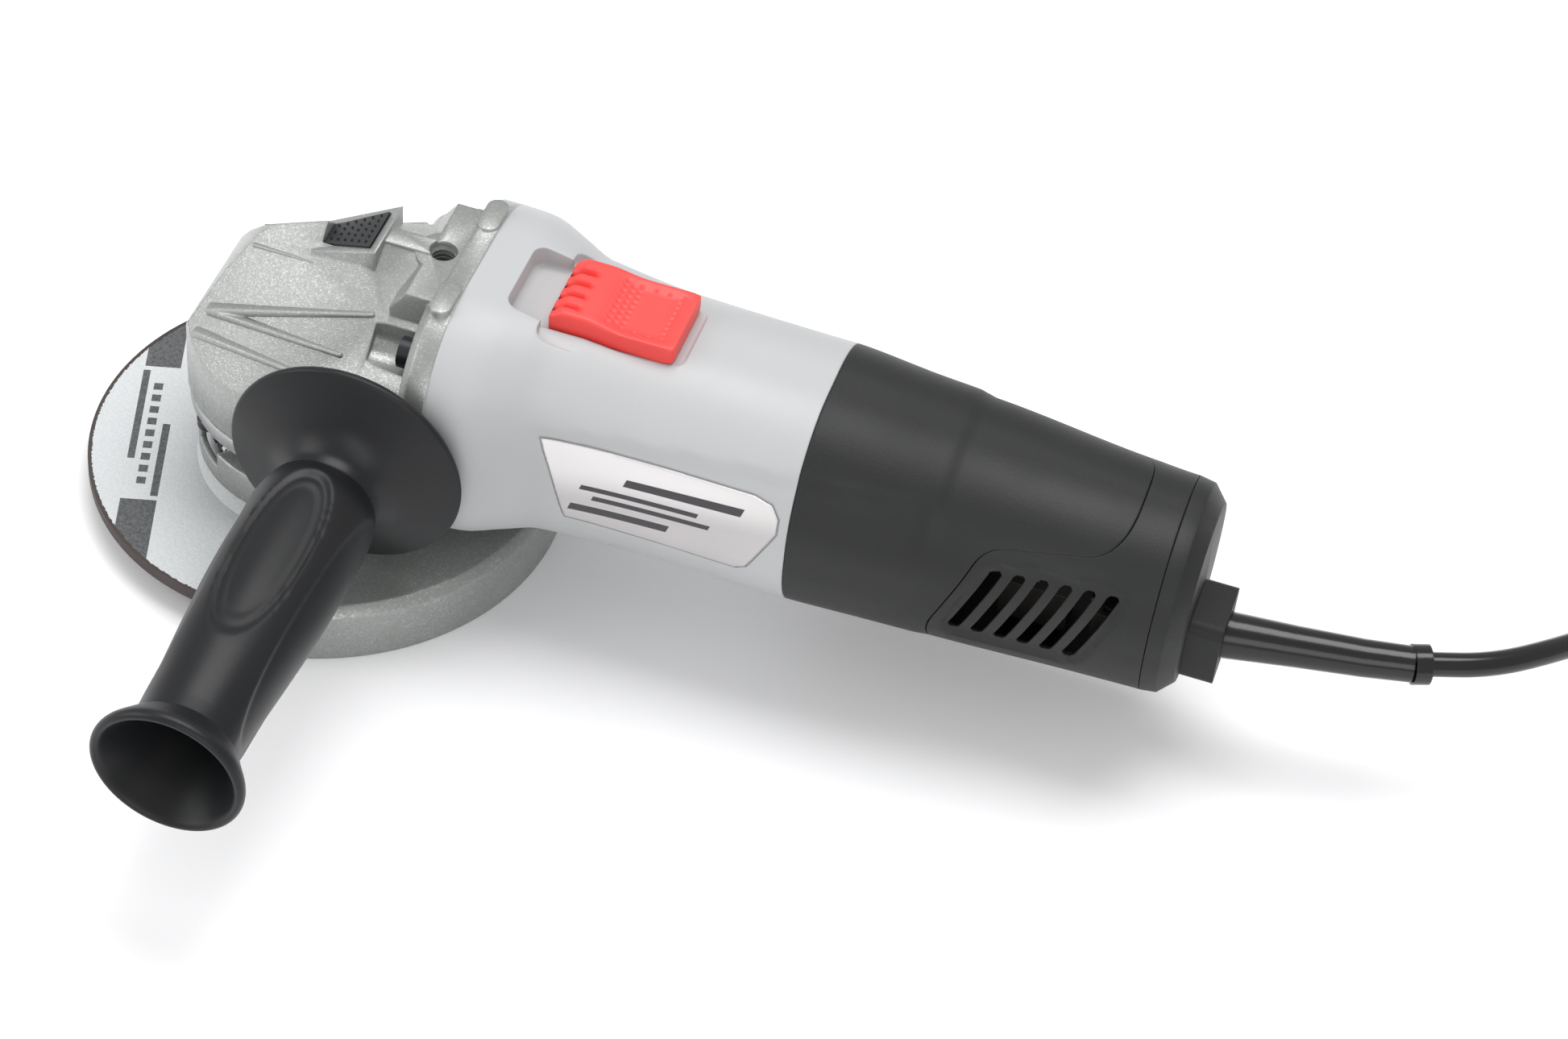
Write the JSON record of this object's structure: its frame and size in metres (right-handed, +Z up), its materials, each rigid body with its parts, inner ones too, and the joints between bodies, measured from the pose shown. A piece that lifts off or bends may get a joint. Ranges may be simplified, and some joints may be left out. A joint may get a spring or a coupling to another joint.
{
  "type": "angle grinder",
  "caption": "Compact corded angle grinder with a faceted metal gear head, depressed-centre cutting disc and guard, slide switch, side handle and coiled mains cord.",
  "frame": {"origin": "free end of the output spindle, on its axis", "axes": "+Z up the spindle away from the disc, +X back along the motor towards the cord, -Y towards the side handle"},
  "size_m": [0.5547, 0.3012, 0.0894],
  "materials": {
    "silver_casting": "silver hammer paint",
    "dark_casting": "as cast",
    "steel": "ground",
    "black_steel": "blackened",
    "grey_plastic": "satin",
    "black_plastic": "fine spark texture",
    "grip_plastic": "soft matte",
    "red_plastic": "satin",
    "button_plastic": "dotted",
    "label_foil": "silver foil",
    "abrasive": "coarse grit",
    "copper": "enamelled wire",
    "lamination": "varnished",
    "carbon": "pressed",
    "brass": "drawn",
    "natural_plastic": "moulded",
    "cord_rubber": "smooth",
    "seal_rubber": "matte",
    "tie_plastic": "moulded"
  },
  "bodies": {
    "housing": {"baffle_ring": "natural_plastic", "bearing_balls": "steel", "bearing_cover": "dark_casting", "bearing_plate": "dark_casting", "bend_sleeve": "cord_rubber", "brush_holders": "brass", "brush_springs": "steel", "capacitor": "natural_plastic", "carbon_brushes": "carbon", "case_screws": "black_steel", "clamp_screws": "black_steel", "coil_tie": "tie_plastic", "cord_clamp": "natural_plastic", "cord_coil": "cord_rubber", "cord_tube": "cord_rubber", "cover_screws": "black_steel", "end_cap": "black_plastic", "field_windings": "copper", "front_bearing_outer": "steel", "gear_case": "silver_casting", "handle_grip": "grip_plastic", "handle_stud": "steel", "housing_screws": "black_steel", "lock_spring": "steel", "motor_housing": "grey_plastic", "name_plates": "label_foil", "needle_sleeve": "steel", "plug_body": "cord_rubber", "plug_pins": "steel", "power_switch": "natural_plastic", "rear_bearing_outer": "steel", "rear_bearing_sleeve": "seal_rubber", "rear_cover": "black_plastic", "rear_housing": "black_plastic", "spindle_bearing_outer": "steel", "stator_core": "lamination"},
    "spindle": {"output_spindle": "steel", "crown_gear": "steel", "spindle_bearing_inner": "steel", "inner_flange": "black_steel", "cutting_disc": "abrasive", "lock_nut": "black_steel"},
    "armature": {"armature_shaft": "steel", "armature_core": "lamination", "armature_windings": "copper", "commutator": "copper", "cooling_fan": "natural_plastic", "pinion_gear": "steel", "pinion_nut": "steel", "front_bearing_inner": "steel", "rear_bearing_inner": "steel"},
    "switch": {"switch_slider": "red_plastic", "switch_rod": "natural_plastic"},
    "lock": {"lock_button": "button_plastic", "lock_pin": "steel"},
    "guard": {"guard_shell": "silver_casting", "guard_clamp_band": "black_steel", "guard_clamp_screw": "steel"}
  },
  "joints": [
    {"name": "spindle_spin", "type": "hinge", "parent": "housing", "child": "spindle", "pos_m": [0, 0, 0], "axis": [0, 0, 1], "continuous": true},
    {"name": "armature_spin", "type": "hinge", "parent": "housing", "child": "armature", "pos_m": [0.05, 0, 0.0472], "axis": [1, 0, 0], "continuous": true},
    {"name": "switch_slide", "type": "slide", "parent": "housing", "child": "switch", "axis": [-1, 0, 0], "range_m": [0, 0.0085]},
    {"name": "lock_button_press", "type": "slide", "parent": "housing", "child": "lock", "axis": [0, 0, -1], "range_m": [0, 0.004], "stiffness_N_per_m": 900, "springref_m": -0.002, "deforming": ["lock_spring"]},
    {"name": "guard_turn", "type": "hinge", "parent": "housing", "child": "guard", "pos_m": [0, 0, 0.0172], "axis": [0, 0, 1], "range_deg": [-90, 90]}
  ],
  "couplings": [
    {"joint": "armature_spin", "follows": "spindle_spin", "ratio": -3.3636}
  ]
}
